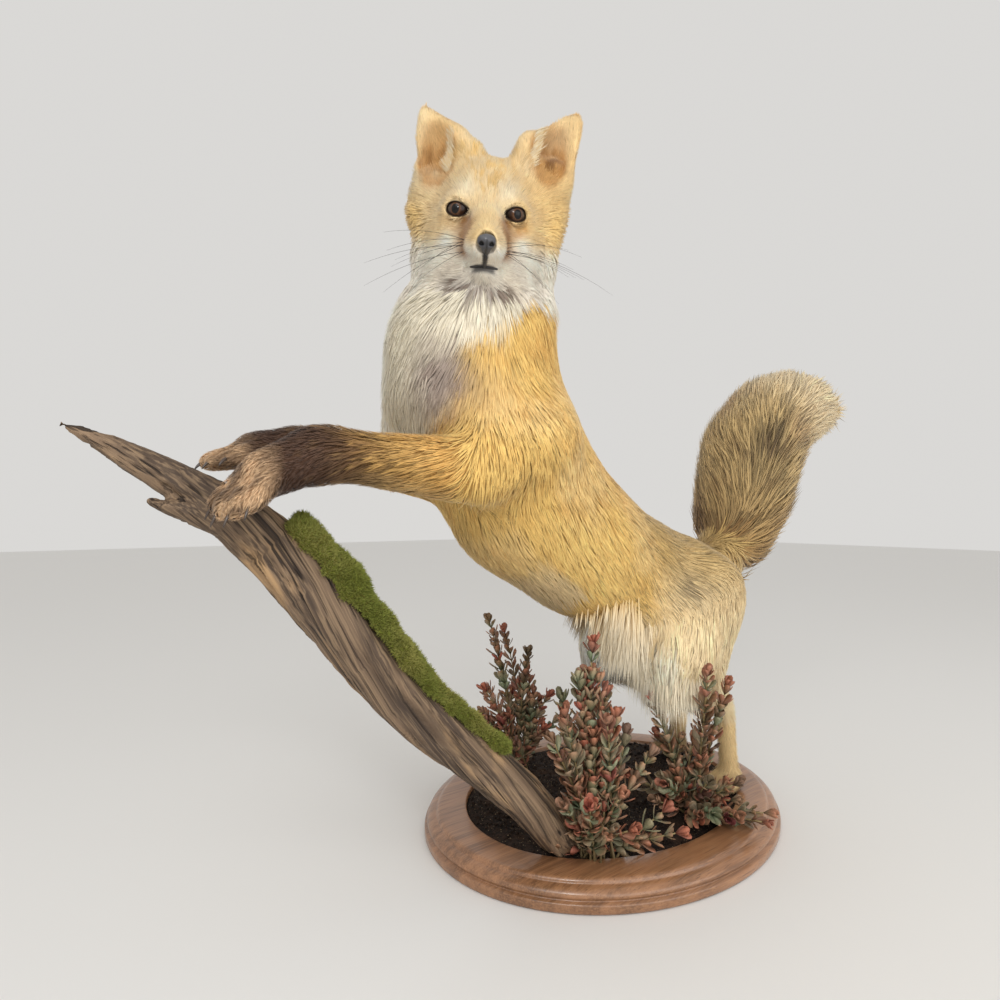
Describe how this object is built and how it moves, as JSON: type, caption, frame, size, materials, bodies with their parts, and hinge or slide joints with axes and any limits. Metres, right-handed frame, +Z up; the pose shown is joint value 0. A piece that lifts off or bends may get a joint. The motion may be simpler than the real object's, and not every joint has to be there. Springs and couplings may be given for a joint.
{
  "type": "taxidermy red fox on a habitat base",
  "caption": "Mounted red fox, standing on its hind feet with its forepaws on leaning driftwood, head turned, tail raised, on an oval wooden base with soil, moss and small plants",
  "frame": {"origin": "centre of the underside of the oval base", "axes": "+Z up, X along the base's long axis with the fox facing -X, its left side towards -Y"},
  "size_m": [0.8703, 0.3182, 0.6299],
  "materials": {
    "fur_gold": "golden orange fur with paler streaks, in overlapping tufts",
    "fur_pale": "cream white fur of the throat, chest and cheeks, with grey streaks",
    "fur_dark": "dark brown fur of the lower legs and paws, tan between the toes",
    "fur_tail": "khaki brush with dark tips and a dark brown root",
    "glass_eye": "dark brown glass eye with a black pupil, high gloss",
    "nose_skin": "grey-black pebbled nose skin, satin",
    "claw": "black horn claw, semi-gloss",
    "walnut": "turned walnut with a clear semi-gloss varnish",
    "soil": "crumbly near-black soil, matt",
    "driftwood": "weathered grey-brown driftwood with lengthwise grain and worn tan patches",
    "moss": "green to yellow-green dried moss, matt",
    "leaves": "preserved evergreen leaves, olive green to burgundy with orange tips"
  },
  "bodies": {
    "root": {"head": "fur_gold", "neck": "fur_pale", "trunk": "fur_gold", "tail_base": "fur_tail", "tail_middle": "fur_tail", "tail_tip": "fur_tail", "ear_left": "fur_gold", "ear_right": "fur_gold", "foreleg_left": "fur_gold", "foreleg_right": "fur_gold", "forepaw_left": "fur_dark", "forepaw_right": "fur_dark", "thigh_left": "fur_gold", "thigh_right": "fur_gold", "shank_left": "fur_gold", "shank_right": "fur_gold", "hind_foot_left": "fur_gold", "hind_foot_right": "fur_gold", "eye_left": "glass_eye", "eye_right": "glass_eye", "nose": "nose_skin", "base": "walnut", "soil": "soil", "branch": "driftwood", "moss": "moss", "plant_front_middle": "leaves", "plant_front_right": "leaves", "plant_back_left": "leaves"}
  },
  "joints": []
}
